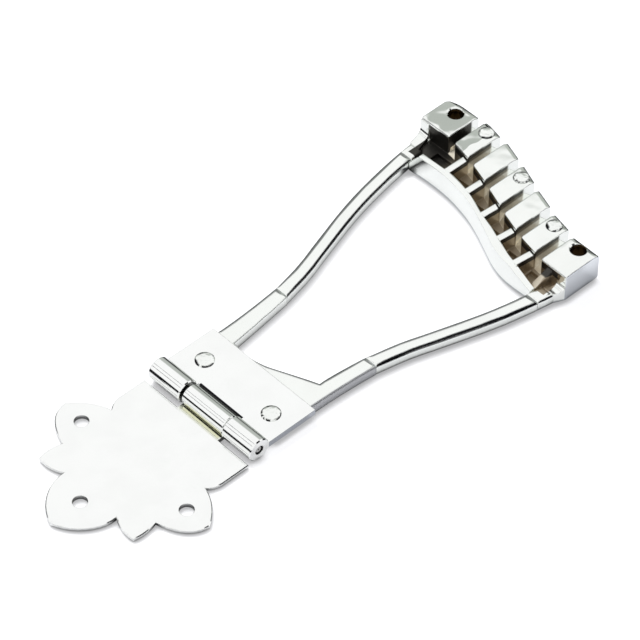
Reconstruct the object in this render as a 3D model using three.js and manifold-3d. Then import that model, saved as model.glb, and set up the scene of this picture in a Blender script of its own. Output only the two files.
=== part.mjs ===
import * as THREE from 'three';
import { mergeVertices } from 'three/addons/utils/BufferGeometryUtils.js';
import Module from 'manifold-3d';

// A hinged tailpiece for a six-string guitar, lying flat with its hinge open.
// X runs across the strings, Y along them from the hinge to the string bar, and Z up.
// The origin is on the flat underside of the mounting plate, on its middle line.

const wasm = await Module();
wasm.setup();

// Driving dimensions, in millimetres

// How far in front of the hinge the origin lies
const originReach = 30;

// Fits
const pinFit = 0.1;
const rivetFit = 0.1;
const overlap = 0.5;
const weldTolerance = 0.0001;
const smallestStep = 0.02;

// Hinge
const hingeHalfWidth = 21.2;
const barrelRadius = 3.7;
const middleBarrelRadius = 3.25;
const pinRadius = 1.4;
const pinRecess = 0.4;
const pinChamfer = 0.3;
const knuckleChamfer = 0.35;
const middleKnuckleLeft = -7.6;
const middleKnuckleRight = 9.2;
const leftKnuckleGap = 0.8;
const rightKnuckleGap = 0.3;
const plateNotchGap = 0.8;
const baseNotchGap = 0.75;

// Mounting plate
const plateThickness = 1.5;
const plateChamfer = 0.25;
const waistOverhang = 0.5;
const plateHalfWidth = 30.4;
const plateReach = 57.7;
const screwHoleRadius = 2.2;

// Base plate
const frameHeight = 4.2;
const basePlateThickness = 1.9;
const basePlateReach = 21.1;
const baseRivetInset = 7.4;
const baseRivetY = 11.2;
const rivetHeadRadius = 2.9;
const rivetHeadHeight = 0.35;
const rivetShankRadius = 1.5;

// Frame root and arms
const rootInset = 1.6;
const rootNearY = 6.0;
const seamY = 44.9;
const armWidth = 4.95;
const armRounding = 1.2;
const rootRounding = 1.0;
const armSeamInset = 1.1;
const armFarX = 34.9;
const armFarY = 115.2;
const leftArmEndY = 110.1;
const rightArmEndY = 95.7;
const leftStubEndY = 115.2;
const rightStubEndY = 101.5;
const rootStubWidth = 5.4;
const webLeftInset = 6.5;
const webRightInset = 5.1;
const webNearY = 22.0;
const webFarY = 29.0;
const spigotRadius = 1.0;
const spigotLength = 4.0;

// String bar
const slotPitch = 10.2;
const slotWidth = 3.1;
const barLeftX = -38.6;
const barRightX = 37.3;
const barMiddleY = 112.5;
const barSwing = 8.1;
const barSwingHalfWidth = 33;
const barFloor = 3.0;
const pocketFloor = 1.6;
const slotFloor = 4.8;
const slotRampSetback = 0.3;
const slotRampRun = 2.6;
const slotBedSetback = 1.2;
const pocketLedge = 0.5;
const barBevel = 0.8;
const rimHeight = 8.7;
const blockHeight = 10.2;
const leftBlockDepth = 12.4;
const middleBlockDepth = 15.0;
const rightBlockDepth = 13.6;
const frontRounding = 1.0;
const backSlopeLength = 2.2;
const backSlopeDrop = 1.0;
const backRounding = 0.8;
const blockEdgeRounding = 0.4;
const rimRounding = 0.3;
const endCornerRadius = 6.0;
const ribWidth = 2.3;
const ribLean = 1.0;
const rimLeftX = -31.6;
const rimRightX = 30.2;
const rimFarY = 111.2;
const rimNearY = 99.0;
const rimLeftRampX = -28;
const rimRightRampX = 21;
const endRibWidth = 2.0;
const endRibLean = 1.8;
const leftCheekInnerX = -35.2;
const rightCheekInnerX = 33.9;
const cheekFillet = 2.8;
const cornerHoleRadius = 2.35;
const cornerHoleChamfer = 0.4;
const leftCornerHoleX = -32.7;
const leftCornerHoleY = 129.0;
const rightCornerHoleX = 31.8;
const rightCornerHoleY = 115.0;
const barRivetRadius = 2.4;
const barRivetBottom = 4.0;
const barRivetInset = 3.6;

// Worked out from those

const axisZ = barrelRadius;
const waistHalfWidth = hingeHalfWidth + waistOverhang;
const rootHalfWidth = hingeHalfWidth - rootInset;
const rootInnerX = rootHalfWidth - rootStubWidth;
const webLeftX = webLeftInset - rootHalfWidth;
const webRightX = rootHalfWidth - webRightInset;
const armSeamX = rootHalfWidth - armSeamInset;
const baseRivetX = hingeHalfWidth - baseRivetInset;
const boreRadius = pinRadius + pinFit;
const plateNotchY = barrelRadius + plateNotchGap;
const baseNotchY = middleBarrelRadius + baseNotchGap;
const baseBottom = frameHeight - basePlateThickness;

// Solids, drawn with the hinge's axis above the point (0, 0)

function solidOf(geometry) {
  const bare = geometry.clone();
  bare.deleteAttribute('normal');
  bare.deleteAttribute('uv');
  const merged = mergeVertices(bare, weldTolerance);
  const mesh = new wasm.Mesh({
    numProp: 3,
    vertProperties: new Float32Array(merged.attributes.position.array),
    triVerts: new Uint32Array(merged.index.array),
  });
  return new wasm.Manifold(mesh);
}

function joined(solids) {
  return solids.reduce((whole, solid) => whole.add(solid));
}

function cut(solid, tools) {
  return tools.reduce((rest, tool) => rest.subtract(tool), solid);
}

function geometryOf(solid) {
  const mesh = solid.simplify(smallestStep).getMesh();
  const geometry = new THREE.BufferGeometry();
  geometry.setAttribute('position', new THREE.BufferAttribute(mesh.vertProperties, 3));
  geometry.setIndex(new THREE.BufferAttribute(mesh.triVerts, 1));
  geometry.translate(0, originReach, 0);
  geometry.computeVertexNormals();
  return geometry;
}

function box(left, right, near, far, bottom, top) {
  const geometry = new THREE.BoxGeometry(right - left, far - near, top - bottom);
  geometry.translate((left + right) / 2, (near + far) / 2, (bottom + top) / 2);
  return solidOf(geometry);
}

function slab(shape, bottom, top, chamfer = 0, steps = 1) {
  const geometry = new THREE.ExtrudeGeometry(shape, {
    depth: top - bottom - 2 * chamfer,
    bevelEnabled: chamfer > 0,
    bevelThickness: chamfer,
    bevelSize: chamfer,
    bevelOffset: -chamfer,
    bevelSegments: steps,
    curveSegments: 10,
  });
  geometry.translate(0, 0, bottom + chamfer);
  return solidOf(geometry);
}

// A side profile in Y and Z, swept along X, with its Y sheared by a slope in plan
// and its two ends rounded.
function sideSweep(profile, left, right, slope = 0, rounding = 0) {
  const middle = (left + right) / 2;
  const geometry = new THREE.ExtrudeGeometry(profile, {
    depth: right - left - 2 * rounding,
    bevelEnabled: rounding > 0,
    bevelThickness: rounding,
    bevelSize: rounding,
    bevelOffset: -rounding,
    bevelSegments: 3,
    curveSegments: 6,
  });
  const turn = new THREE.Matrix4().makeBasis(
    new THREE.Vector3(0, 1, 0),
    new THREE.Vector3(0, 0, 1),
    new THREE.Vector3(1, 0, 0),
  );
  const shear = new THREE.Matrix4().set(1, 0, 0, 0, slope, 1, 0, 0, 0, 0, 1, 0, 0, 0, 0, 1);
  geometry.applyMatrix4(turn);
  geometry.translate(left + rounding - middle, 0, 0);
  geometry.applyMatrix4(shear);
  geometry.translate(middle, 0, 0);
  return solidOf(geometry);
}

function rodAlongX(radius, left, right, chamfer = 0, sides = 48) {
  const length = right - left;
  const end = chamfer > 0 ? [[radius - chamfer, 0], [radius, chamfer]] : [[radius, 0]];
  const otherEnd = end.map(([r, along]) => [r, length - along]).reverse();
  const points = [[0, 0], ...end, ...otherEnd, [0, length]];
  const geometry = new THREE.LatheGeometry(points.map(([r, along]) => new THREE.Vector2(r, along)), sides);
  geometry.rotateZ(-Math.PI / 2);
  geometry.translate(left, 0, axisZ);
  return solidOf(geometry);
}

function rodAlongY(radius, x, near, far, z) {
  const geometry = new THREE.CylinderGeometry(radius, radius, far - near, 16);
  geometry.translate(x, (near + far) / 2, z);
  return solidOf(geometry);
}

function turned(points, x, y, bottom, sides = 32) {
  const geometry = new THREE.LatheGeometry(points.map(([r, z]) => new THREE.Vector2(r, z)), sides);
  geometry.rotateX(Math.PI / 2);
  geometry.translate(x, y, bottom);
  return solidOf(geometry);
}

function post(radius, x, y, bottom, top, sides = 32) {
  const height = top - bottom;
  return turned([[0, 0], [radius, 0], [radius, height], [0, height]], x, y, bottom, sides);
}

function named(name, solid, colour, roughness) {
  const material = new THREE.MeshStandardMaterial({ color: colour, roughness, metalness: 1 });
  const mesh = new THREE.Mesh(geometryOf(solid), material);
  mesh.name = name;
  return mesh;
}

// Hinge

function hingePin() {
  const halfLength = hingeHalfWidth - pinRecess;
  return rodAlongX(pinRadius, -halfLength, halfLength, pinChamfer, 32);
}

const bore = rodAlongX(boreRadius, -hingeHalfWidth - overlap, hingeHalfWidth + overlap, 0, 32);

// Mounting plate

// Notches between the petals and the points of the petals, as shares of the plate's half width and reach.
const firstNotchShares = [0.645, 0.324];
const sidePointShares = [1, 0.459];
const secondNotchShares = [0.641, 0.635];
const smallPointShares = [0.65, 0.778];
const thirdNotchShares = [0.362, 0.75];

// Where the curves between those points bulge to.
const waistBendShares = [0.714, 0.284];
const sideNearBulgeShares = [0.84, 0.345];
const sideFarBulgeShares = [0.99, 0.586];
const smallNearBulgeShares = [0.688, 0.716];
const smallFarBulgeShares = [0.51, 0.793];
const tipNearBulgeShares = [0.384, 0.848];
const tipFarBulgeShares = [0.21, 0.968];

const waistStraightShare = 0.234;

// Centres of the screw holes.
const sideHoleShares = [0.724, 0.478];
const tipHoleShares = [0, 0.813];

function place(shares, side) {
  return [side * shares[0] * plateHalfWidth, -shares[1] * plateReach];
}

function plateOutline() {
  const shape = new THREE.Shape();
  const waistEnd = -waistStraightShare * plateReach;
  shape.moveTo(-waistHalfWidth, -plateNotchY);
  shape.lineTo(-waistHalfWidth, waistEnd);
  shape.quadraticCurveTo(...place(waistBendShares, -1), ...place(firstNotchShares, -1));
  shape.quadraticCurveTo(...place(sideNearBulgeShares, -1), ...place(sidePointShares, -1));
  shape.quadraticCurveTo(...place(sideFarBulgeShares, -1), ...place(secondNotchShares, -1));
  shape.quadraticCurveTo(...place(smallNearBulgeShares, -1), ...place(smallPointShares, -1));
  shape.quadraticCurveTo(...place(smallFarBulgeShares, -1), ...place(thirdNotchShares, -1));
  shape.bezierCurveTo(...place(tipNearBulgeShares, -1), ...place(tipFarBulgeShares, -1), 0, -plateReach);
  shape.bezierCurveTo(
    ...place(tipFarBulgeShares, 1),
    ...place(tipNearBulgeShares, 1),
    ...place(thirdNotchShares, 1),
  );
  shape.quadraticCurveTo(...place(smallFarBulgeShares, 1), ...place(smallPointShares, 1));
  shape.quadraticCurveTo(...place(smallNearBulgeShares, 1), ...place(secondNotchShares, 1));
  shape.quadraticCurveTo(...place(sideFarBulgeShares, 1), ...place(sidePointShares, 1));
  shape.quadraticCurveTo(...place(sideNearBulgeShares, 1), ...place(firstNotchShares, 1));
  shape.quadraticCurveTo(...place(waistBendShares, 1), waistHalfWidth, waistEnd);
  shape.lineTo(waistHalfWidth, -plateNotchY);
  return shape;
}

function mountingPlate() {
  const sheet = slab(plateOutline(), 0, plateThickness, plateChamfer);
  const tongue = new THREE.Shape();
  tongue.moveTo(-plateNotchY - overlap, 0);
  tongue.lineTo(-middleBarrelRadius, 0);
  tongue.lineTo(0, barrelRadius - middleBarrelRadius);
  tongue.lineTo(0, plateThickness);
  tongue.lineTo(-plateNotchY - overlap, plateThickness);
  const holePlaces = [place(sideHoleShares, -1), place(sideHoleShares, 1), place(tipHoleShares, 1)];
  const holes = holePlaces.map(([x, y]) => (
    post(screwHoleRadius, x, y, -overlap, plateThickness + overlap)
  ));
  const knuckle = rodAlongX(middleBarrelRadius, middleKnuckleLeft, middleKnuckleRight, knuckleChamfer);
  const solids = [sheet, sideSweep(tongue, middleKnuckleLeft, middleKnuckleRight), knuckle];
  return cut(joined(solids), [bore, ...holes]);
}

// Base plate

function basePlate() {
  const leftEnd = middleKnuckleLeft - leftKnuckleGap;
  const rightStart = middleKnuckleRight + rightKnuckleGap;
  const sheet = box(-hingeHalfWidth, hingeHalfWidth, baseNotchY, basePlateReach, baseBottom, frameHeight);
  const leftTongue = box(-hingeHalfWidth, leftEnd, 0, baseNotchY + overlap, baseBottom, frameHeight);
  const rightTongue = box(rightStart, hingeHalfWidth, 0, baseNotchY + overlap, baseBottom, frameHeight);
  const leftKnuckle = rodAlongX(barrelRadius, -hingeHalfWidth, leftEnd, knuckleChamfer);
  const rightKnuckle = rodAlongX(barrelRadius, rightStart, hingeHalfWidth, knuckleChamfer);
  const holes = [-baseRivetX, baseRivetX].map((x) => (
    post(rivetShankRadius + rivetFit, x, baseRivetY, baseBottom - overlap, frameHeight + overlap)
  ));
  return cut(joined([sheet, leftTongue, rightTongue, leftKnuckle, rightKnuckle]), [bore, ...holes]);
}

function baseRivet(x) {
  const head = frameHeight + rivetHeadHeight;
  return turned([
    [0, rivetFit],
    [rivetShankRadius, rivetFit],
    [rivetShankRadius, frameHeight],
    [rivetHeadRadius, frameHeight],
    [rivetHeadRadius, frameHeight + rivetHeadHeight / 2],
    [rivetHeadRadius - rivetHeadHeight, head],
    [0, head],
  ], x, baseRivetY, 0);
}

// Frame root and arms

// How far the middle of an arm has spread, and how far along it that is,
// as shares of its whole way from the seam.
const armLengthShares = [0, 0.16, 0.3, 0.56, 0.76, 0.9, 1];
const armSpreadShares = [0, 0.155, 0.35, 0.69, 0.87, 0.96, 1];

const armCurve = new THREE.CatmullRomCurve3(armLengthShares.map((along, i) => new THREE.Vector3(
  armSeamX + armSpreadShares[i] * (armFarX - armSeamX),
  seamY + along * (armFarY - seamY),
  0,
)));

function armMiddleX(y) {
  let low = 0;
  let high = 1;
  for (let step = 0; step < 30; step += 1) {
    const middle = (low + high) / 2;
    if (armCurve.getPoint(middle).y < y) low = middle;
    else high = middle;
  }
  return armCurve.getPoint((low + high) / 2).x;
}

function armBar(side, near, far, steps) {
  const ys = Array.from({ length: steps + 1 }, (_, i) => near + (i / steps) * (far - near));
  const outer = ys.map((y) => new THREE.Vector2(side * (armMiddleX(y) + armWidth / 2), y));
  const inner = ys.map((y) => new THREE.Vector2(side * (armMiddleX(y) - armWidth / 2), y)).reverse();
  return slab(new THREE.Shape([...outer, ...inner]), 0, frameHeight, armRounding, 4);
}

function arm(side, endY) {
  const middleZ = frameHeight / 2;
  const seamX = side * armMiddleX(seamY);
  const endX = side * armMiddleX(endY);
  const seamSpigot = rodAlongY(spigotRadius, seamX, seamY - spigotLength, seamY + overlap, middleZ);
  const endSpigot = rodAlongY(spigotRadius, endX, endY - overlap, endY + spigotLength, middleZ);
  return joined([armBar(side, seamY, endY, 14), seamSpigot, endSpigot]);
}

function spigotSocket(side, y, direction) {
  const reach = spigotLength + pinFit;
  const near = direction > 0 ? y - overlap : y - reach;
  const far = direction > 0 ? y + reach : y + overlap;
  return rodAlongY(spigotRadius + pinFit, side * armMiddleX(y), near, far, frameHeight / 2);
}

// The web's far edge, from the left corner to the right one, as shares of the way across and of its slant.
const webAcrossShares = [0, 0.2, 0.42, 0.65, 0.87, 1];
const webSlantShares = [0, -0.08, 0.05, 0.42, 0.8, 1];
const stubStraightShare = 0.45;

function rootOutline() {
  const seamInner = armSeamX - armWidth / 2;
  const seamOuter = armSeamX + armWidth / 2;
  const straightEnd = basePlateReach + stubStraightShare * (seamY - basePlateReach);
  const webEdge = webAcrossShares.map((across, i) => new THREE.Vector2(
    webLeftX + across * (webRightX - webLeftX),
    webNearY + webSlantShares[i] * (webFarY - webNearY),
  ));
  const shape = new THREE.Shape();
  shape.moveTo(-rootHalfWidth, rootNearY);
  shape.lineTo(rootHalfWidth, rootNearY);
  shape.lineTo(rootHalfWidth, basePlateReach);
  shape.quadraticCurveTo(rootHalfWidth, straightEnd, seamOuter, seamY);
  shape.lineTo(seamInner, seamY);
  shape.quadraticCurveTo(rootInnerX, straightEnd, webRightX, webFarY);
  shape.splineThru(webEdge.reverse().slice(1));
  shape.quadraticCurveTo(-rootInnerX, straightEnd, -seamInner, seamY);
  shape.lineTo(-seamOuter, seamY);
  shape.quadraticCurveTo(-rootHalfWidth, straightEnd, -rootHalfWidth, basePlateReach);
  return shape;
}

function frameRoot() {
  const casting = slab(rootOutline(), 0, frameHeight, rootRounding, 3);
  const rebate = box(-hingeHalfWidth, hingeHalfWidth, 0, basePlateReach, baseBottom, frameHeight + overlap);
  const holes = [-baseRivetX, baseRivetX].map((x) => (
    post(rivetShankRadius + rivetFit, x, baseRivetY, -overlap, frameHeight)
  ));
  const sockets = [-1, 1].map((side) => spigotSocket(side, seamY, -1));
  return cut(casting, [rebate, ...holes, ...sockets]);
}

// String bar

// The front of the blocks swings from far to near, left to right, as half a sine wave.
function blockFrontY(x) {
  return barMiddleY - barSwing * Math.sin((Math.PI / 2) * (x / barSwingHalfWidth));
}

function blockSlope(x) {
  const turn = (Math.PI / 2) * (x / barSwingHalfWidth);
  return -barSwing * (Math.PI / 2 / barSwingHalfWidth) * Math.cos(turn);
}

function blockDepth(x) {
  const endDepth = x < 0 ? leftBlockDepth : rightBlockDepth;
  const endX = x < 0 ? barLeftX : barRightX;
  return endDepth + (middleBlockDepth - endDepth) * Math.cos((Math.PI / 2) * (x / endX));
}

const slotCount = 6;
const slotXs = Array.from({ length: slotCount }, (_, i) => (i - (slotCount - 1) / 2) * slotPitch);
const blockLefts = [barLeftX, ...slotXs.map((x) => x + slotWidth / 2)];
const blockRights = [...slotXs.map((x) => x - slotWidth / 2), barRightX];

function block(left, right) {
  const middle = (left + right) / 2;
  const front = blockFrontY(middle);
  const back = front + blockDepth(middle);
  const slopePitch = backSlopeDrop / backSlopeLength;
  const slopeEnd = blockHeight - backSlopeDrop;
  const profile = new THREE.Shape();
  profile.moveTo(front, barBevel);
  profile.lineTo(back, barBevel);
  profile.lineTo(back, slopeEnd - backRounding);
  profile.quadraticCurveTo(back, slopeEnd, back - backRounding, slopeEnd + backRounding * slopePitch);
  profile.lineTo(back - backSlopeLength, blockHeight);
  profile.lineTo(front + frontRounding, blockHeight);
  profile.quadraticCurveTo(front, blockHeight, front, blockHeight - frontRounding);
  return sideSweep(profile, left, right, blockSlope(middle), blockEdgeRounding);
}

// The floor of a string slot, which climbs from the pocket in front of it.
function slotBed(x) {
  const front = blockFrontY(x) + slotRampSetback;
  const back = blockFrontY(x) + blockDepth(x) - slotBedSetback;
  const profile = new THREE.Shape();
  profile.moveTo(front, barBevel);
  profile.lineTo(back, barBevel);
  profile.lineTo(back, slotFloor);
  profile.lineTo(front + slotRampRun, slotFloor);
  profile.lineTo(front, barFloor);
  return sideSweep(profile, x - slotWidth / 2 - overlap, x + slotWidth / 2 + overlap, blockSlope(x));
}

// Everything inside a large rounding of the left end's far corner.
function leftCornerLimit() {
  const nearY = rimNearY - barSwing;
  const farY = blockFrontY(barLeftX) + blockDepth(barLeftX) + overlap;
  const shape = new THREE.Shape();
  shape.moveTo(barLeftX - overlap, nearY);
  shape.lineTo(barRightX + overlap, nearY);
  shape.lineTo(barRightX + overlap, farY + overlap);
  shape.lineTo(barLeftX + endCornerRadius, farY);
  shape.quadraticCurveTo(barLeftX - overlap, farY - overlap, barLeftX - overlap, farY - endCornerRadius);
  return slab(shape, -overlap, blockHeight + overlap);
}

// The rim's inner and outer lines, as shares of the way across
// and of the inner line's fall from left to right.
const rimAcrossShares = [0, 0.12, 0.27, 0.42, 0.53, 0.63, 0.74, 0.85, 1];
const rimInnerShares = [0.02, 0.01, 0.01, 0.185, 0.41, 0.57, 0.78, 0.97, 1];
const rimOuterShares = [0.2, 0.165, 0.2, 0.36, 0.565, 0.8, 1.05, 1.17, 1.17];

function rimLine(fallShares) {
  const points = rimAcrossShares.map((across, i) => new THREE.Vector2(
    rimLeftX + across * (rimRightX - rimLeftX),
    rimFarY + fallShares[i] * (rimNearY - rimFarY),
  ));
  return new THREE.SplineCurve(points).getPoints(24);
}

function bandOutline(farPoints) {
  const shape = new THREE.Shape(rimLine(rimOuterShares));
  [...farPoints].reverse().forEach((point) => shape.lineTo(point.x, point.y));
  return shape;
}

function barFloorSlab() {
  const backOfBlocks = blockLefts.flatMap((left, i) => {
    const right = blockRights[i];
    const middle = (left + right) / 2;
    const back = blockFrontY(middle) + blockDepth(middle);
    const slope = blockSlope(middle);
    return [
      new THREE.Vector2(left, back + slope * (left - middle) - overlap),
      new THREE.Vector2(right, back + slope * (right - middle) - overlap),
    ];
  });
  const leftEnd = [
    new THREE.Vector2(-armMiddleX(leftStubEndY) + armWidth / 4, leftStubEndY),
    new THREE.Vector2(barLeftX, blockFrontY(barLeftX)),
  ];
  const rightEnd = [
    new THREE.Vector2(barRightX, blockFrontY(barRightX)),
    new THREE.Vector2(armMiddleX(rightStubEndY), rightStubEndY),
  ];
  return slab(bandOutline([...leftEnd, ...backOfBlocks, ...rightEnd]), 0, barFloor, barBevel);
}

// A wall between the two rim lines, with its top falling to the height of the arms at both ends.
function rimWall() {
  const wall = slab(bandOutline(rimLine(rimInnerShares)), barBevel, rimHeight, rimRounding, 2);
  const ramp = new THREE.Shape();
  ramp.moveTo(rimLeftX - overlap, 0);
  ramp.lineTo(rimRightX + overlap, 0);
  ramp.lineTo(rimRightX + overlap, frameHeight);
  ramp.lineTo(rimRightX, frameHeight);
  ramp.lineTo(rimRightRampX, rimHeight);
  ramp.lineTo(rimLeftRampX, rimHeight);
  ramp.lineTo(rimLeftX, frameHeight);
  ramp.lineTo(rimLeftX - overlap, frameHeight);
  const depth = 2 * (rimFarY - rimNearY);
  const geometry = new THREE.ExtrudeGeometry(ramp, { depth, bevelEnabled: false });
  geometry.rotateX(Math.PI / 2);
  geometry.translate(0, rimFarY + overlap, 0);
  return wall.intersect(solidOf(geometry));
}

const rimInnerLine = rimLine(rimInnerShares);

function rimY(x) {
  const i = Math.max(1, rimInnerLine.findIndex((point) => point.x >= x));
  const [before, after] = [rimInnerLine[i - 1], rimInnerLine[i]];
  return before.y + ((x - before.x) / (after.x - before.x)) * (after.y - before.y);
}

function ribFrontX(backX) {
  return backX - (ribLean / 2) * (1 + Math.sin((Math.PI / 2) * (backX / barSwingHalfWidth)));
}

function rib(right) {
  const frontRight = ribFrontX(right);
  const frontY = rimY(frontRight - ribWidth / 2) - overlap;
  const backY = blockFrontY(right - ribWidth / 2) + frontRounding + overlap;
  const shape = new THREE.Shape();
  shape.moveTo(frontRight - ribWidth, frontY);
  shape.lineTo(frontRight, frontY);
  shape.lineTo(right, backY);
  shape.lineTo(right - ribWidth, backY);
  return slab(shape, barBevel, rimHeight, rimRounding, 2);
}

// The last rib climbs from the rim's low end to the end block.
function endRib() {
  const backY = blockFrontY(rimRightX) + frontRounding;
  const shape = new THREE.Shape();
  shape.moveTo(rimRightX - endRibWidth, rimNearY - overlap);
  shape.lineTo(rimRightX, rimNearY - overlap);
  shape.lineTo(rimRightX + endRibLean, backY);
  shape.lineTo(rimRightX + endRibLean - endRibWidth, backY);
  const climb = new THREE.Shape();
  climb.moveTo(rimNearY - overlap, barBevel);
  climb.lineTo(backY, barBevel);
  climb.lineTo(backY, rimHeight);
  climb.lineTo(backY - frontRounding, rimHeight);
  climb.lineTo(rimNearY, frameHeight);
  climb.lineTo(rimNearY - overlap, frameHeight);
  const climbing = sideSweep(climb, rimRightX - endRibWidth, rimRightX + endRibLean);
  return slab(shape, barBevel, rimHeight).intersect(climbing);
}

// A cheek flares from the end of an arm's stub to an end block, and its top sweeps up in a hollow curve.
function cheek(side, stubEndY, outerX, innerX) {
  const front = blockFrontY(outerX);
  const far = front + frontRounding + overlap;
  const near = stubEndY - overlap;
  const shape = new THREE.Shape();
  shape.moveTo(side * (armMiddleX(near) + armWidth / 2), near);
  shape.lineTo(outerX, front);
  shape.lineTo(outerX, far);
  shape.lineTo(innerX, far);
  shape.lineTo(innerX, front);
  shape.lineTo(side * (armMiddleX(near) - armWidth / 4), near);
  const rise = new THREE.Shape();
  rise.moveTo(near, 0);
  rise.lineTo(far, 0);
  rise.lineTo(far, blockHeight - frontRounding);
  rise.lineTo(front, blockHeight - frontRounding);
  rise.lineTo(front, frameHeight + cheekFillet);
  rise.quadraticCurveTo(front, frameHeight, front - cheekFillet, frameHeight);
  rise.lineTo(near, frameHeight);
  const rising = sideSweep(rise, Math.min(outerX, innerX) - armWidth, Math.max(outerX, innerX) + armWidth);
  return slab(shape, 0, blockHeight, barBevel).intersect(rising);
}

// A sunk floor behind the rim, between two ribs and in front of the blocks.
function pocket(left, right) {
  const near = Math.max(rimY(left), rimY(right)) + pocketLedge;
  return box(left, right, near, blockFrontY(right) - pocketLedge, pocketFloor, barFloor + overlap);
}

function cornerHole(x, y) {
  const flare = cornerHoleRadius + cornerHoleChamfer + overlap;
  return turned([
    [0, -overlap],
    [cornerHoleRadius, -overlap],
    [cornerHoleRadius, blockHeight - cornerHoleChamfer],
    [flare, blockHeight + overlap],
    [0, blockHeight + overlap],
  ], x, y, 0);
}

const barRivetXs = [-2 * slotPitch, 0, 2 * slotPitch];

function barRivetY(x) {
  return blockFrontY(x) + blockDepth(x) - barRivetInset;
}

function barRivet(x) {
  const head = blockHeight + rivetHeadHeight;
  return turned([
    [0, barRivetBottom],
    [barRivetRadius, barRivetBottom],
    [barRivetRadius, head - rivetHeadHeight / 2],
    [barRivetRadius - rivetHeadHeight, head],
    [0, head],
  ], x, barRivetY(x), 0);
}

function stringBar() {
  const blocks = blockLefts.map((left, i) => block(left, blockRights[i]));
  const ribs = slotXs.slice(1).map((x) => rib(x - slotWidth / 2));
  const cheeks = [
    cheek(-1, leftStubEndY, barLeftX, leftCheekInnerX),
    cheek(1, rightStubEndY, barRightX, rightCheekInnerX),
  ];
  const stubs = [
    armBar(-1, leftArmEndY, leftStubEndY, 2),
    armBar(1, rightArmEndY, rightStubEndY, 2),
  ];
  const pocketLefts = [rimLeftX + ribWidth, ...slotXs.slice(1).map((x) => x - slotWidth / 2)];
  const ribLefts = slotXs.slice(1).map((x) => ribFrontX(x - slotWidth / 2) - ribWidth);
  const pocketRights = [...ribLefts, rimRightX - endRibWidth];
  const pockets = pocketLefts.map((left, i) => pocket(left, pocketRights[i]));
  const holes = [
    cornerHole(leftCornerHoleX, leftCornerHoleY),
    cornerHole(rightCornerHoleX, rightCornerHoleY),
    ...barRivetXs.map((x) => (
      post(barRivetRadius + rivetFit, x, barRivetY(x), barRivetBottom, blockHeight + overlap)
    )),
  ];
  const sockets = [spigotSocket(-1, leftArmEndY, 1), spigotSocket(1, rightArmEndY, 1)];
  const beds = slotXs.map(slotBed);
  const walls = [rimWall(), ...ribs, endRib(), ...cheeks];
  const casting = joined([barFloorSlab(), ...walls, ...stubs, ...blocks, ...beds]);
  return cut(casting.intersect(leftCornerLimit()), [...pockets, ...holes, ...sockets]);
}

const tailpiece = new THREE.Group();

tailpiece.add(named('mounting_plate', mountingPlate(), 0xe6e9e6, 0.12));
tailpiece.add(named('base_plate', basePlate(), 0xe6e9e6, 0.12));
tailpiece.add(named('hinge_pin', hingePin(), 0x8f9292, 0.3));
tailpiece.add(named('base_rivet_left', baseRivet(-baseRivetX), 0xdfe3df, 0.18));
tailpiece.add(named('base_rivet_right', baseRivet(baseRivetX), 0xdfe3df, 0.18));
tailpiece.add(named('frame_root', frameRoot(), 0xe3e7e3, 0.14));
tailpiece.add(named('arm_left', arm(-1, leftArmEndY), 0xe3e7e3, 0.1));
tailpiece.add(named('arm_right', arm(1, rightArmEndY), 0xe3e7e3, 0.1));
tailpiece.add(named('string_bar', stringBar(), 0xdfe4df, 0.12));
['left', 'middle', 'right'].forEach((place, i) => {
  tailpiece.add(named(`bar_rivet_${place}`, barRivet(barRivetXs[i]), 0xdfe3df, 0.18));
});

export default tailpiece;
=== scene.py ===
import math

import bpy
from mathutils import Matrix, Vector

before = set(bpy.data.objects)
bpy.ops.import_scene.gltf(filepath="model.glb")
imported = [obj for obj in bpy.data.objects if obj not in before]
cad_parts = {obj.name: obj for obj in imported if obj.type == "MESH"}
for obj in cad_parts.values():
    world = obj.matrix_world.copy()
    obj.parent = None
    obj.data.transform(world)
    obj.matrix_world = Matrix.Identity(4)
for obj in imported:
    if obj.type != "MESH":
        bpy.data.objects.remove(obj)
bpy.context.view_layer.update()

MM = 0.001

# Two numbers in brackets are where a change starts and where it is complete, unless a comment says otherwise

# Camera
TARGET = Vector((-5.681, 78.115, 0)) * MM
AZIMUTH = math.radians(46.770)
ELEVATION = math.radians(46.996)
ROLL = math.radians(0.0855)
DISTANCE = 1002.38 * MM
LENS = 196.875
SENSOR = 36
CLIP_START = 10 * MM
CLIP_END = 20000 * MM

# Colours of the metals
CHROME = (0.955, 0.965, 0.955)
CAST_CHROME = (0.935, 0.955, 0.93)
STEEL = (0.5, 0.5, 0.49)

# Studio's tent: colours
SKY = (1.0, 1.0, 1.0)
DARK = (0.012, 0.012, 0.014)
COOL_GREY = (0.49, 0.515, 0.485)
SEAM = (0.05, 0.05, 0.06)
AMBIENT = (0.24, 0.24, 0.25)

# Studio's tent: where its parts start and end, by how much of a direction points up, right, near or far
LEFT_WALL_UP = (-0.1, 0.3)
LEFT_CEILING_UP = (0.56, 0.70)
RIGHT_CEILING_UP = (0.58, 0.68)
RIGHT_SIDE = (0.0, 0.3)
LOW_CARD_FAR = (-0.45, -0.3)
LOW_CARD_UP = (0.22, 0.12)
TALL_CARD_START = (0.05, 0.15)
TALL_CARD_END = (0.58, 0.52)
NEAR_SIDE = (0.1, 0.3)
NEAR_CEILING_UP = (0.12, 0.18)

# Studio's tent: its dark seams, each by how much of its direction points near, and half its width
SEAMS = ((0.28, 0.03), (0.62, 0.025))
SEAM_DARKEST_SHARE = 0.4
SEAMS_RIGHT = -0.497
SEAMS_REACH = (0.065, 0.045)

# Floor
FLOOR_HALF = 2500 * MM
FLOOR_DROP = 0.02 * MM
FLOOR_LIT = (0.66, 0.665, 0.68)
FLOOR_GLOW = (0.80, 0.80, 0.81)
MIRRORED_GLOW = 0.6
MIRRORED_FLOOR_END = (0.68, 0.78)

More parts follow.
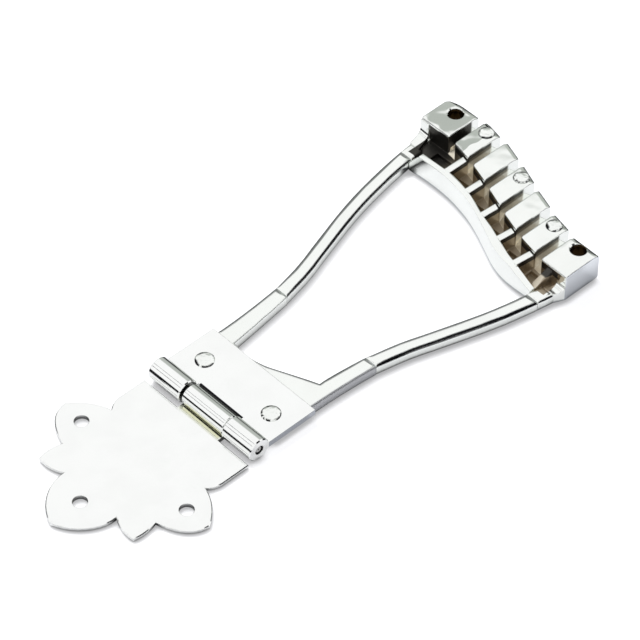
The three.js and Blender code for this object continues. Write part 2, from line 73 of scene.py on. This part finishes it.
# Contact shadow: how far it reaches, which way its light comes from, how open it is, and how dark it gets
CONTACT_REACH = 2.8 * MM
CONTACT_LIGHT = (-0.62, 0.38, 0.68)
CONTACT_SAMPLES = 16
SEEN_OPEN = (0.25, 0.85)
SEEN_SHADE = 0.45
MIRRORED_OPEN = (0.3, 0.68)
MIRRORED_SHADE = 0.04

# Lamp
LAMP_SIZE = 450 * MM
LAMP_POWER = 7
LAMP_PLACE = Vector((-700, 200, 900)) * MM
LAMP_AIM = Vector((0, 80, 0)) * MM

# String bar: the wave of its blocks' fronts
BAR_MIDDLE_Y = 142.5 * MM
BAR_SWING = 8.1 * MM
BAR_SWING_HALF_WIDTH = 33 * MM
FRONT_PLAY = 0.2 * MM

# String bar: its pockets, whose depth is counted from the wave toward the near side
POCKET_DEPTH = 7.2 * MM
POCKET_NARROWING = 0.05
POCKETS_LEFT = -35 * MM
POCKETS_RIGHT = 33.8 * MM
POCKET_TOP = 8.55 * MM
POCKET_BACK = (-1.0 * MM, -0.2 * MM)
FRONT_SKIN = 0.35 * MM
FRONT_TOP = 9.2 * MM

# String bar: its slots and the ramps on their floors, which get a pale painted highlight
SLOT_PITCH = 10.2 * MM
SLOT_HALF_WIDTH = 1.55 * MM
SLOT_SKIN = 0.1 * MM
SLOTS_HALF_SPAN = 3 * SLOT_PITCH
SLOT_TOP = 9.8 * MM
SLOT_BACK = (-10.5 * MM, -9.5 * MM)
RAMP_LENGTH = 3.2 * MM
RAMP_TOP = 4.9 * MM

# String bar: its two holes, each by its place across and along
HOLE_PLACES = ((-32.7 * MM, 159.0 * MM), (31.8 * MM, 145.0 * MM))
HOLE_RADIUS = 2.5 * MM

# String bar: painted shade and warm painted reflections in its pockets, slots and holes, and painted
# highlights on the slots' ramps and paler sides
RECESS_SHADE_BROWN = (0.43, 0.36, 0.265)
CREAM_HIGHLIGHT = (0.92, 0.86, 0.72)
SLOT_LOW = (0.72, 0.68, 0.60)
SLOT_SHADE = (0.20, 0.175, 0.135)
DEEP_SHADE = (0.02, 0.016, 0.011)
HOLE_SHADE = (0.16, 0.12, 0.07)
RECESS_SHADE_SHARE = 0.95
RECESS_ROUGHNESS = 0.42
PALE_SIDE = (0.72, 1.0)
PALE_SHARE = 0.5
SLOT_PALE = (7.0 * MM, 7.9 * MM)
SLOT_WALL = (0, -0.8 * MM)
FRONT_DARK = 7.0 * MM
SLOT_DARK = 8.7 * MM
DARK_STEP = (-1.0 * MM, 0)
DARK_UP = (-0.3 * MM, 0.1 * MM)
DARK_LEFT = (-19 * MM, -27 * MM)

# String bar: painted grey shade along its foot, and painted shade on its right end face, darker toward the
# bottom
FOOT_SHADE = (0.56, 0.59, 0.61)
FOOT_START = 0.3 * MM
FOOT_UP = (0, 0.1 * MM)
FOOT_TOP = (1.6 * MM, 0.9 * MM)
END_SHADE_LOW = (0.42, 0.44, 0.47)
END_SHADE_HIGH = (0.80, 0.83, 0.87)
END_FACE_X = (37.1 * MM, 37.2 * MM)
END_FACE_UP = (0, 10 * MM)

# String bar: where the polish of its left end falls away, and how calm the waves of its sides are
FALL_START = -20.5 * MM
FALL_WANDER = 9 * MM
FALL_WANDER_PER_MM = 0.13
FALL_SLOPE = 0.16
SIDE_CALM = 0.2
SIDE_CALM_UP = (SLOT_DARK, SLOT_TOP)

# Mounting plate: a painted yellow reflection in a strip beside the middle knuckle
KNUCKLE_REFLECTION_YELLOW = (0.74, 0.74, 0.52)
YELLOW_REFLECTION_LEFT = (-8.6 * MM, -5.6 * MM)
YELLOW_REFLECTION_RIGHT = (9.7 * MM, 8.2 * MM)
YELLOW_REFLECTION_NEAR = (24.6 * MM, 26.4 * MM)
PLATE_TOP = 1.5 * MM
PLATE_TOP_PLAY = 0.05 * MM

# Both plates: painted shade in their creases, darker where little is open round them
CREASE_SHADE = (0.12, 0.12, 0.09)
CREASE_REACH = 1.2 * MM
CREASE_SAMPLES = 8
CREASE_OPEN = (0.2, 0.55)
CREASE_SHARE = 0.85

# Base plate: painted grey shade on its right side, and a painted dark shadow line in the gap beside the
# middle knuckle
SIDE_SHADE = (0.42, 0.44, 0.48)
BASE_SIDE_X = (21.03 * MM, 21.15 * MM)
BASE_NEAR = 33.6 * MM
MEETING_FAR = (34.7 * MM, 34.55 * MM)
MEETING_LEFT = -8.0 * MM
MEETING_RIGHT = 9.6 * MM

# Frame root: painted grey shade on its right flank, which is also rougher
FLANK_SHADE = (0.58, 0.59, 0.61)
FLANK_X = (17.3 * MM, 17.8 * MM)
FLANK_TOP = (4.15 * MM, 3.95 * MM)
FLANK_ROUGHNESS = 0.45

# Hinge pin: painted shade as a dark ring and a dark middle on its end
HINGE_Y = 30 * MM
HINGE_Z = 3.7 * MM
PIN_RING = (0.85 * MM, 1.0 * MM)
PIN_MIDDLE = (0.3 * MM, 0.2 * MM)

# Rivets: a painted dark broken line of shade round a head; its black also paints the other dark lines of
# shade and reflection
PAINTED_BLACK = (0.01, 0.01, 0.012)
RIM_LEAN = (0.998, 0.98)
RIM_BREAKS = (0.45, 0.5)
RIM_BREAKS_PER_MM = 0.8
RIM_BREAKS_DETAIL = 3

# Arms and root: the black line painted along their right edges as a dark reflection, and how level the
# rounded metal is where it starts
EDGE_LINES = {"left arm": 0.92, "right arm": 0.955, "root": 0.58}
EDGE_LINE_BORDER = 0.015
EDGE_LINE_LOWER = (0.5, 0.56)
EDGE_LINE_SIDE = (0.2, 0.3)

# Arms and root: the grey line painted along their far edges as a reflection of the grey wall
FAR_REFLECTION_GREY = (0.36, 0.37, 0.37)
FAR_LINE_REACH = 0.9 * MM
FAR_LINE_SAMPLES = 8
FAR_LINE_WAY = (-1, 0.6, 0)
FAR_LINE_SIDE = (0.03, 0.07)
FAR_LINE_UP = (0.2, 0.3)

# Polish: clouds in the colour, smears in the roughness, and a fine grain
CLOUD_PER_MM = 0.12
CLOUD_DETAIL = 4
CLOUD_CHANGE = (0.35, 0.7)
CLOUD_DULL = 0.975
SMEAR_PER_MM = 0.35
SMEAR_DETAIL = 5
SMEAR_STRETCH = (1, 0.3, 1)
SMEAR_CHANGE = (0.3, 0.75)
SMEAR_LEAST = 0.7
SMEAR_MOST = 1.7
GRAIN_PER_MM = 6
GRAIN_DETAIL = 2
GRAIN_STRETCH = (0.25, 1, 1)
GRAIN_HEIGHT = 0.0015 * MM

# Edges, and how the skin is smoothed between them
SHEET_EDGE_RADIUS = 0.18 * MM
CAST_EDGE_RADIUS = 0.5 * MM
BAR_EDGE_RADIUS = 0.35 * MM
RIVET_EDGE_RADIUS = 0.6 * MM
EDGE_SAMPLES = 4
WELD = 0.002 * MM
SHARP_ANGLE = math.radians(32)
NORMAL_WEIGHT = 100

# Finishes: colour, roughness, edge radius, height of the waves, waves in a millimetre, and marks, which are
# mostly painted shade, reflections and highlights
FINISHES = {
    "mounting_chrome": (CHROME, 0.06, SHEET_EDGE_RADIUS, 0.02 * MM, 0.06, "mounting"),
    "base_chrome": (CHROME, 0.06, SHEET_EDGE_RADIUS, 0.02 * MM, 0.06, "base"),
    "left_arm_chrome": (CAST_CHROME, 0.07, CAST_EDGE_RADIUS, 0.05 * MM, 0.12, "left arm"),
    "right_arm_chrome": (CAST_CHROME, 0.07, CAST_EDGE_RADIUS, 0.05 * MM, 0.12, "right arm"),
    "root_chrome": (CAST_CHROME, 0.07, CAST_EDGE_RADIUS, 0.05 * MM, 0.12, "root"),
    "bar_chrome": (CAST_CHROME, 0.08, BAR_EDGE_RADIUS, 0.22 * MM, 0.16, "bar"),
    "rivet_chrome": (CAST_CHROME, 0.12, RIVET_EDGE_RADIUS, 0.16 * MM, 0.7, "rivet"),
    "steel": (STEEL, 0.25, SHEET_EDGE_RADIUS, 0.01 * MM, 0.8, "pin"),
}

# Finish of each piece
DRESS = {
    "mounting_plate": "mounting_chrome",
    "base_plate": "base_chrome",
    "hinge_pin": "steel",
    "base_rivet_left": "rivet_chrome",
    "base_rivet_right": "rivet_chrome",
    "frame_root": "root_chrome",
    "arm_left": "left_arm_chrome",
    "arm_right": "right_arm_chrome",
    "string_bar": "bar_chrome",
    "bar_rivet_left": "rivet_chrome",
    "bar_rivet_middle": "rivet_chrome",
    "bar_rivet_right": "rivet_chrome",
}


class Nodes:
    """A node tree that is filled by short calls, each returning an output socket."""

    def __init__(self, tree):
        self.tree = tree
        tree.nodes.clear()

    def new(self, kind, **settings):
        node = self.tree.nodes.new(kind)
        for key, value in settings.items():
            setattr(node, key, value)
        return node

    def link(self, source, socket):
        self.tree.links.new(source, socket)

    def put(self, value, socket):
        if isinstance(value, bpy.types.NodeSocket):
            self.link(value, socket)
        elif isinstance(value, tuple) and socket.type == "RGBA":
            socket.default_value = (*value, 1)
        else:
            socket.default_value = value

    def math(self, operation, first, second=0.0):
        node = self.new("ShaderNodeMath", operation=operation)
        self.put(first, node.inputs[0])
        self.put(second, node.inputs[1])
        return node.outputs[0]

    def times(self, first, *others):
        for other in others:
            first = self.math("MULTIPLY", first, other)
        return first

    def plus(self, first, second):
        return self.math("ADD", first, second)

    def minus(self, first, second):
        return self.math("SUBTRACT", first, second)

    def larger(self, first, second):
        return self.math("MAXIMUM", first, second)

    def size(self, value):
        return self.math("ABSOLUTE", value)

    def under(self, value, limit):
        return self.math("LESS_THAN", value, limit)

    def over(self, value, limit):
        return self.math("GREATER_THAN", value, limit)

    def reach(self, first, second):
        """Distance of a point from the origin by its two coordinates."""
        squares = self.plus(self.times(first, first), self.times(second, second))
        return self.math("SQRT", squares)

    def spread(self, value, low, high, to_low=0.0, to_high=1.0):
        """A smooth change from one number to another while the value goes from low to high."""
        node = self.new("ShaderNodeMapRange", interpolation_type="SMOOTHSTEP", clamp=True)
        for socket, amount in zip(node.inputs, (value, low, high, to_low, to_high)):
            self.put(amount, socket)
        return node.outputs[0]

    def mix(self, factor, first, second):
        node = self.new("ShaderNodeMix", data_type="RGBA")
        self.put(factor, node.inputs["Factor"])
        self.put(first, node.inputs[6])
        self.put(second, node.inputs[7])
        return node.outputs[2]

    def axes(self, vector):
        node = self.new("ShaderNodeSeparateXYZ")
        self.link(vector, node.inputs[0])
        return node.outputs

    def toward(self, vector, direction):
        node = self.new("ShaderNodeVectorMath", operation="DOT_PRODUCT")
        self.link(vector, node.inputs[0])
        node.inputs[1].default_value = Vector(direction).normalized()
        return node.outputs["Value"]

    def rounded(self, radius, samples):
        """Normal of the surface as if its edges were rounded."""
        node = self.new("ShaderNodeBevel", samples=samples)
        node.inputs["Radius"].default_value = radius
        return node.outputs[0]

    def local(self, normal):
        """A normal turned from the room's axes to the piece's own, so that it stays when the hinge moves."""
        node = self.new("ShaderNodeVectorTransform", vector_type="NORMAL")
        node.convert_from = "WORLD"
        node.convert_to = "OBJECT"
        self.link(normal, node.inputs[0])
        return node.outputs[0]

    def noise(self, vector, per_mm, detail, stretch=(1, 1, 1)):
        mapping = self.new("ShaderNodeMapping")
        self.link(vector, mapping.inputs["Vector"])
        mapping.inputs["Scale"].default_value = Vector(stretch) * per_mm / MM
        node = self.new("ShaderNodeTexNoise")
        self.link(mapping.outputs[0], node.inputs["Vector"])
        node.inputs["Scale"].default_value = 1
        node.inputs["Detail"].default_value = detail
        return node.outputs["Fac"]

    def bump(self, height, distance, normal):
        node = self.new("ShaderNodeBump")
        node.inputs["Distance"].default_value = distance
        self.link(height, node.inputs["Height"])
        self.link(normal, node.inputs["Normal"])
        return node.outputs[0]

    def show(self, shader, kind="ShaderNodeOutputMaterial"):
        self.link(shader, self.new(kind).inputs["Surface"])


def place_camera():
    """The photograph's own view."""
    camera = bpy.data.objects.new("camera", bpy.data.cameras.new("camera"))
    bpy.context.scene.collection.objects.link(camera)
    camera.data.lens = LENS
    camera.data.sensor_width = SENSOR
    camera.data.clip_start = CLIP_START
    camera.data.clip_end = CLIP_END
    back = Vector((
        math.sin(AZIMUTH) * math.cos(ELEVATION),
        -math.cos(AZIMUTH) * math.cos(ELEVATION),
        math.sin(ELEVATION),
    ))
    level = Vector((math.cos(AZIMUTH), math.sin(AZIMUTH), 0))
    upright = back.cross(level)
    right = level * math.cos(ROLL) + upright * math.sin(ROLL)
    up = upright * math.cos(ROLL) - level * math.sin(ROLL)
    turn = Matrix((right, up, back)).transposed().to_4x4()
    camera.matrix_world = Matrix.Translation(TARGET + back * DISTANCE) @ turn
    bpy.context.scene.camera = camera


def room():
    """A tent of light: white above, grey on the left, dark cards on the right and dark seams near by."""
    world = bpy.data.worlds.new("room")
    bpy.context.scene.world = world
    world.use_nodes = True
    nodes = Nodes(world.node_tree)
    direction = nodes.new("ShaderNodeTexCoord").outputs["Generated"]
    right = nodes.toward(direction, (1, 0, 0))
    far = nodes.toward(direction, (0, 1, 0))
    near = nodes.toward(direction, (0, -1, 0))
    up = nodes.toward(direction, (0, 0, 1))

    left_wall = nodes.mix(nodes.spread(up, *LEFT_WALL_UP), DARK, COOL_GREY)
    left_wall = nodes.mix(nodes.spread(up, *LEFT_CEILING_UP), left_wall, SKY)
    low_card = nodes.times(nodes.spread(far, *LOW_CARD_FAR), nodes.spread(up, *LOW_CARD_UP))
    tall_card = nodes.times(nodes.spread(far, *TALL_CARD_START), nodes.spread(far, *TALL_CARD_END))
    right_wall = nodes.mix(nodes.larger(low_card, tall_card), SKY, DARK)
    right_wall = nodes.mix(nodes.spread(up, *RIGHT_CEILING_UP), right_wall, SKY)
    right_share = nodes.spread(right, *RIGHT_SIDE)
    colour = nodes.mix(right_share, left_wall, right_wall)

    near_ceiling = nodes.spread(up, *NEAR_CEILING_UP)
    near_share = nodes.times(nodes.spread(near, *NEAR_SIDE), nodes.minus(1.0, right_share))
    colour = nodes.mix(near_share, colour, nodes.mix(near_ceiling, DARK, SKY))
    off_seams = nodes.size(nodes.minus(right, SEAMS_RIGHT))
    seam_share = nodes.times(near_share, nodes.spread(off_seams, *SEAMS_REACH))
    for place, half_width in SEAMS:
        distance = nodes.size(nodes.minus(near, place))
        seam = nodes.spread(distance, half_width, half_width * SEAM_DARKEST_SHARE)
        colour = nodes.mix(nodes.times(seam, near_ceiling, seam_share), colour, SEAM)

    path = nodes.new("ShaderNodeLightPath")
    colour = nodes.mix(path.outputs["Is Diffuse Ray"], colour, AMBIENT)
    colour = nodes.mix(path.outputs["Is Camera Ray"], colour, SKY)
    background = nodes.new("ShaderNodeBackground")
    nodes.link(colour, background.inputs["Color"])
    background.inputs["Strength"].default_value = 1
    nodes.show(background.outputs[0], "ShaderNodeOutputWorld")


def floor_material():
    """White with a soft shadow beside whatever lies on it, and a deeper one in the metal's reflections."""
    material = bpy.data.materials.new("floor")
    material.use_nodes = True
    nodes = Nodes(material.node_tree)
    contact_light = nodes.new("ShaderNodeVectorMath", operation="NORMALIZE")
    contact_light.inputs[0].default_value = CONTACT_LIGHT
    contact = nodes.new("ShaderNodeAmbientOcclusion", samples=CONTACT_SAMPLES)
    contact.inputs["Distance"].default_value = CONTACT_REACH
    nodes.link(contact_light.outputs[0], contact.inputs["Normal"])
    seen = nodes.spread(contact.outputs["AO"], *SEEN_OPEN, SEEN_SHADE, 1.0)
    reflected = nodes.spread(contact.outputs["AO"], *MIRRORED_OPEN, MIRRORED_SHADE, 1.0)

    path = nodes.new("ShaderNodeLightPath")
    mirrored = nodes.larger(path.outputs["Is Glossy Ray"], path.outputs["Is Transmission Ray"])
    bright = nodes.plus(seen, nodes.times(nodes.minus(reflected, seen), mirrored))
    slanting = nodes.new("ShaderNodeLayerWeight").outputs["Facing"]
    far_off = nodes.times(nodes.spread(slanting, *MIRRORED_FLOOR_END), mirrored)
    bright = nodes.times(bright, nodes.minus(1.0, far_off))

    diffuse = nodes.new("ShaderNodeBsdfDiffuse")
    nodes.link(nodes.mix(bright, DARK, FLOOR_LIT), diffuse.inputs["Color"])
    glow_share = nodes.larger(path.outputs["Is Camera Ray"], nodes.times(mirrored, MIRRORED_GLOW))
    glow = nodes.new("ShaderNodeEmission")
    glow.inputs["Color"].default_value = (*FLOOR_GLOW, 1)
    nodes.link(nodes.times(glow_share, bright), glow.inputs["Strength"])
    both = nodes.new("ShaderNodeAddShader")
    nodes.link(diffuse.outputs[0], both.inputs[0])
    nodes.link(glow.outputs[0], both.inputs[1])
    nodes.show(both.outputs[0])
    return material


def lay_floor():
    """A wide level sheet just under the object."""
    mesh = bpy.data.meshes.new("floor")
    signs = ((-1, -1), (1, -1), (1, 1), (-1, 1))
    corners = [(x * FLOOR_HALF, y * FLOOR_HALF, 0) for x, y in signs]
    mesh.from_pydata(corners, [], [range(len(corners))])
    floor = bpy.data.objects.new("floor", mesh)
    floor.location.z = -FLOOR_DROP
    bpy.context.scene.collection.objects.link(floor)
    mesh.materials.append(floor_material())


def hang_lamp():
    """A soft lamp above the left side, which the metal doesn't mirror."""
    lamp = bpy.data.lights.new("lamp", "AREA")
    lamp.size = LAMP_SIZE
    lamp.energy = LAMP_POWER
    holder = bpy.data.objects.new("lamp", lamp)
    holder.location = LAMP_PLACE
    holder.rotation_mode = "QUATERNION"
    holder.rotation_quaternion = (LAMP_AIM - LAMP_PLACE).to_track_quat("-Z", "Y")
    holder.visible_glossy = False
    bpy.context.scene.collection.objects.link(holder)


def bar_marks(nodes, place):
    """Shares of the string bar's holes, painted shade in its openings and painted highlights on its ramps,
    and the colour of that painted shade.
    """
    across, along, height = nodes.axes(place)
    turn = nodes.times(across, math.pi / 2 / BAR_SWING_HALF_WIDTH)
    front = nodes.plus(nodes.times(nodes.math("SINE", turn), -BAR_SWING), BAR_MIDDLE_Y)
    before = nodes.minus(front, along)
    above_foot = nodes.over(height, FOOT_START)

    at_front = nodes.under(before, FRONT_SKIN)
    pocket = nodes.times(
        nodes.over(across, POCKETS_LEFT),
        nodes.under(across, POCKETS_RIGHT),
        nodes.under(before, nodes.plus(nodes.times(across, -POCKET_NARROWING), POCKET_DEPTH)),
        nodes.under(height, nodes.plus(nodes.times(at_front, FRONT_TOP - POCKET_TOP), POCKET_TOP)),
        nodes.spread(before, *POCKET_BACK),
        above_foot,
    )
    pitch = nodes.math("FRACT", nodes.math("DIVIDE", across, SLOT_PITCH))
    off_slot = nodes.size(nodes.minus(pitch, 0.5))
    slot = nodes.times(
        nodes.under(off_slot, (SLOT_HALF_WIDTH + SLOT_SKIN) / SLOT_PITCH),
        nodes.under(nodes.size(across), SLOTS_HALF_SPAN),
        nodes.under(height, SLOT_TOP),
        nodes.under(before, FRONT_PLAY),
        nodes.spread(before, *SLOT_BACK),
        above_foot,
    )
    ramp = nodes.times(
        nodes.under(off_slot, SLOT_HALF_WIDTH / SLOT_PITCH),
        nodes.under(before, -FRONT_PLAY),
        nodes.over(before, -RAMP_LENGTH),
        nodes.under(height, RAMP_TOP),
        above_foot,
    )
    # Painted shade and warm painted reflections in the pockets and slots, kept off the ramps
    shaded_openings = nodes.times(nodes.larger(slot, pocket), RECESS_SHADE_SHARE, nodes.minus(1.0, ramp))
    hole = 0.0
    for x, y in HOLE_PLACES:
        from_middle = nodes.reach(nodes.minus(across, x), nodes.minus(along, y))
        hole = nodes.larger(nodes.under(from_middle, HOLE_RADIUS), hole)
    hole = nodes.times(hole, nodes.under(height, SLOT_TOP))

    # A painted highlight on one side of each slot, and paler painted light low on the slot walls
    pale = nodes.times(nodes.spread(pitch, *PALE_SIDE), PALE_SHARE)
    brown = nodes.mix(pale, RECESS_SHADE_BROWN, CREAM_HIGHLIGHT)
    wall = nodes.mix(nodes.spread(height, *SLOT_PALE), SLOT_LOW, SLOT_SHADE)
    brown = nodes.mix(nodes.spread(before, *SLOT_WALL), brown, wall)
    # Dark painted shade high in the slots and toward the left end
    step = nodes.times(nodes.spread(before, *DARK_STEP), FRONT_DARK - SLOT_DARK)
    above = nodes.minus(height, nodes.plus(step, SLOT_DARK))
    dark = nodes.larger(nodes.spread(above, *DARK_UP), nodes.spread(across, *DARK_LEFT))
    return hole, shaded_openings, ramp, nodes.mix(dark, brown, DEEP_SHADE)


def bar_shade_and_highlight(nodes, place, tone):
    """The string bar's colour and how dull it is: painted brown shade and reflections in its openings,
    painted highlights on its ramps, and painted grey shade at its foot and right end.
    """
    hole, shaded_openings, ramp, brown = bar_marks(nodes, place)
    across, _, height = nodes.axes(place)
    # A pale painted highlight on the ramps
    tone = nodes.mix(ramp, tone, CREAM_HIGHLIGHT)
    # Painted shade: a grey band along the foot, and the right end face darker toward the bottom
    foot = nodes.times(nodes.spread(height, *FOOT_TOP), nodes.spread(height, *FOOT_UP))
    tone = nodes.mix(foot, tone, FOOT_SHADE)
    end = nodes.mix(nodes.spread(height, *END_FACE_UP), END_SHADE_LOW, END_SHADE_HIGH)
    tone = nodes.mix(nodes.spread(across, *END_FACE_X), tone, end)
    # Brown painted shade in the openings, and dark painted shade in the holes
    tone = nodes.mix(shaded_openings, tone, brown)
    return nodes.mix(hole, tone, HOLE_SHADE), nodes.times(nodes.larger(shaded_openings, ramp), RECESS_ROUGHNESS)


def falling_end(nodes, place):
    """Height of a polish that falls away toward the string bar's left end, from a wandering line."""
    across, _, height = nodes.axes(place)
    wander = nodes.times(nodes.minus(nodes.noise(place, FALL_WANDER_PER_MM, 1), 0.5), FALL_WANDER)
    past = nodes.plus(nodes.minus(across, FALL_START), wander)
    fall = nodes.times(nodes.math("MINIMUM", past, 0.0), FALL_SLOPE)
    return nodes.times(fall, nodes.over(height, SLOT_TOP))


def calmed(nodes, place, rise):
    """Waves that are lower on the string bar's sides than on its tops."""
    height = nodes.axes(place)[2]
    return nodes.times(rise, nodes.spread(height, *SIDE_CALM_UP, SIDE_CALM, 1.0))


def yellow_reflected(nodes, place, tone):
    """A faint yellow strip of painted reflection on the mounting plate beside the middle knuckle."""
    across, along, height = nodes.axes(place)
    share = nodes.times(
        nodes.spread(across, *YELLOW_REFLECTION_LEFT),
        nodes.spread(across, *YELLOW_REFLECTION_RIGHT),
        nodes.spread(along, *YELLOW_REFLECTION_NEAR),
        nodes.under(along, HINGE_Y),
        nodes.under(nodes.size(nodes.minus(height, PLATE_TOP)), PLATE_TOP_PLAY),
    )
    return nodes.mix(share, tone, KNUCKLE_REFLECTION_YELLOW)


def side_and_gap_shaded(nodes, place, tone):
    """Painted cool grey shade on the base plate's right side, and a painted dark shadow line where it meets
    the middle knuckle.
    """
    across, along, _ = nodes.axes(place)
    beyond = nodes.over(along, BASE_NEAR)
    tone = nodes.mix(nodes.times(nodes.spread(across, *BASE_SIDE_X), beyond), tone, SIDE_SHADE)
    meeting = nodes.times(
        nodes.spread(along, *MEETING_FAR),
        beyond,
        nodes.over(across, MEETING_LEFT),
        nodes.under(across, MEETING_RIGHT),
    )
    return nodes.mix(meeting, tone, PAINTED_BLACK)


def crease_shaded(nodes, tone):
    """Painted dark shade in the gaps of the hinge and along the edges that lie on something."""
    hidden = nodes.new("ShaderNodeAmbientOcclusion", samples=CREASE_SAMPLES)
    hidden.inputs["Distance"].default_value = CREASE_REACH
    return nodes.mix(nodes.spread(hidden.outputs["AO"], *CREASE_OPEN, CREASE_SHARE, 0.0), tone, CREASE_SHADE)


def ringed(nodes, place, tone):
    """Painted shade as a dark ring and a dark middle on the end of the hinge pin."""
    _, along, height = nodes.axes(place)
    radius = nodes.reach(nodes.minus(along, HINGE_Y), nodes.minus(height, HINGE_Z))
    dark = nodes.larger(nodes.spread(radius, *PIN_RING), nodes.spread(radius, *PIN_MIDDLE))
    return nodes.mix(dark, tone, PAINTED_BLACK)


def outlined(nodes, tone, edge, border):
    """Thin painted reflections along the rounded top edges of an arm: grey on its far side, black on its
    right side.
    """
    wide = nodes.local(nodes.rounded(FAR_LINE_REACH, FAR_LINE_SAMPLES))
    far = nodes.times(
        nodes.spread(nodes.toward(wide, FAR_LINE_WAY), *FAR_LINE_SIDE),
        nodes.spread(nodes.toward(wide, (0, 0, 1)), *FAR_LINE_UP),
    )
    tone = nodes.mix(far, tone, FAR_REFLECTION_GREY)
    upright = nodes.toward(edge, (0, 0, 1))
    right = nodes.times(
        nodes.spread(upright, border + EDGE_LINE_BORDER, border - EDGE_LINE_BORDER),
        nodes.spread(upright, *EDGE_LINE_LOWER),
        nodes.spread(nodes.toward(edge, (1, 0, 0)), *EDGE_LINE_SIDE),
    )
    return nodes.mix(right, tone, PAINTED_BLACK)


def rim_shaded(nodes, place, tone, edge):
    """A painted dark broken line of shade where a rivet's head turns down to the metal round it."""
    lean = nodes.spread(nodes.toward(edge, (0, 0, 1)), *RIM_LEAN)
    breaks = nodes.noise(place, RIM_BREAKS_PER_MM, RIM_BREAKS_DETAIL)
    return nodes.mix(nodes.times(lean, nodes.spread(breaks, *RIM_BREAKS)), tone, PAINTED_BLACK)


def flanked(nodes, place, tone):
    """The frame root's colour and how dull it is: its right flank gets painted grey shade and is less
    polished.
    """
    across, _, height = nodes.axes(place)
    share = nodes.times(nodes.spread(across, *FLANK_X), nodes.spread(height, *FLANK_TOP))
    return nodes.mix(share, tone, FLANK_SHADE), nodes.times(share, FLANK_ROUGHNESS)


def metal(name, colour, roughness, edge_radius, wave, wave_per_mm, marks):
    """Polished metal with clouds, smears, low waves and a fine grain, and the painted shade, reflections and
    highlights of its own piece.
    """
    material = bpy.data.materials.new(name)
    material.use_nodes = True
    nodes = Nodes(material.node_tree)
    place = nodes.new("ShaderNodeTexCoord").outputs["Object"]
    normal = nodes.rounded(edge_radius, EDGE_SAMPLES)
    dulled = tuple(channel * CLOUD_DULL for channel in colour)
    cloud = nodes.noise(place, CLOUD_PER_MM, CLOUD_DETAIL)
    tone = nodes.mix(nodes.spread(cloud, *CLOUD_CHANGE), colour, dulled)
    smear = nodes.noise(place, SMEAR_PER_MM, SMEAR_DETAIL, SMEAR_STRETCH)
    dullness = nodes.spread(smear, *SMEAR_CHANGE, roughness * SMEAR_LEAST, roughness * SMEAR_MOST)
    rise = nodes.noise(place, wave_per_mm, 1)

    if marks == "mounting":
        tone = crease_shaded(nodes, yellow_reflected(nodes, place, tone))
    if marks == "base":
        tone = crease_shaded(nodes, side_and_gap_shaded(nodes, place, tone))
    if marks == "pin":
        tone = ringed(nodes, place, tone)
    if marks == "rivet":
        tone = rim_shaded(nodes, place, tone, nodes.local(normal))
    if marks in EDGE_LINES:
        tone = outlined(nodes, tone, nodes.local(normal), EDGE_LINES[marks])
    if marks == "root":
        tone, flank = flanked(nodes, place, tone)
        dullness = nodes.larger(dullness, flank)
    if marks == "bar":
        tone, shaded_openings = bar_shade_and_highlight(nodes, place, tone)
        dullness = nodes.larger(dullness, shaded_openings)
        rise = calmed(nodes, place, rise)

    normal = nodes.bump(rise, wave, normal)
    if marks == "bar":
        normal = nodes.bump(falling_end(nodes, place), 1, normal)
    grain = nodes.noise(place, GRAIN_PER_MM, GRAIN_DETAIL, GRAIN_STRETCH)
    normal = nodes.bump(grain, GRAIN_HEIGHT, normal)
    shader = nodes.new("ShaderNodeBsdfPrincipled")
    shader.inputs["Metallic"].default_value = 1
    nodes.link(tone, shader.inputs["Base Color"])
    nodes.link(dullness, shader.inputs["Roughness"])
    nodes.link(normal, shader.inputs["Normal"])
    nodes.show(shader.outputs[0])
    return material


def smooth_group():
    """Welds a node's triangles into one skin and shades it smooth up to the sharp angle."""
    group = bpy.data.node_groups.new("smooth_skin", "GeometryNodeTree")
    group.interface.new_socket("Geometry", in_out="INPUT", socket_type="NodeSocketGeometry")
    group.interface.new_socket("Geometry", in_out="OUTPUT", socket_type="NodeSocketGeometry")
    nodes = Nodes(group)
    skin = nodes.new("NodeGroupInput").outputs[0]
    weld = nodes.new("GeometryNodeMergeByDistance")
    nodes.link(skin, weld.inputs["Geometry"])
    weld.inputs["Distance"].default_value = WELD
    skin = weld.outputs[0]
    for name in ("custom_normal", "sharp_edge", "sharp_face"):
        remove = nodes.new("GeometryNodeRemoveAttribute")
        nodes.link(skin, remove.inputs["Geometry"])
        remove.inputs["Name"].default_value = name
        skin = remove.outputs[0]
    angle = nodes.new("GeometryNodeInputMeshEdgeAngle").outputs["Unsigned Angle"]
    gentle = nodes.new("FunctionNodeCompare", data_type="FLOAT", operation="LESS_THAN")
    nodes.link(angle, gentle.inputs[0])
    gentle.inputs[1].default_value = SHARP_ANGLE
    shade = nodes.new("GeometryNodeSetShadeSmooth", domain="EDGE")
    nodes.link(skin, shade.inputs["Geometry"])
    nodes.link(gentle.outputs[0], shade.inputs["Shade Smooth"])
    output = nodes.new("NodeGroupOutput")
    nodes.link(shade.outputs[0], output.inputs[0])
    return group


def dress(piece, material, group):
    """Gives a piece its finish and its smooth skin."""
    for slot in piece.material_slots:
        slot.material = material
    piece.modifiers.new("smooth_skin", "NODES").node_group = group
    weighted = piece.modifiers.new("weighted", "WEIGHTED_NORMAL")
    weighted.mode = "FACE_AREA"
    weighted.weight = NORMAL_WEIGHT
    weighted.keep_sharp = True


place_camera()
room()
lay_floor()
hang_lamp()

materials = {name: metal(name, *finish) for name, finish in FINISHES.items()}
skin_group = smooth_group()
for node, finish in DRESS.items():
    dress(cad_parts[node], materials[finish], skin_group)

bpy.context.scene.view_settings.view_transform = "Standard"
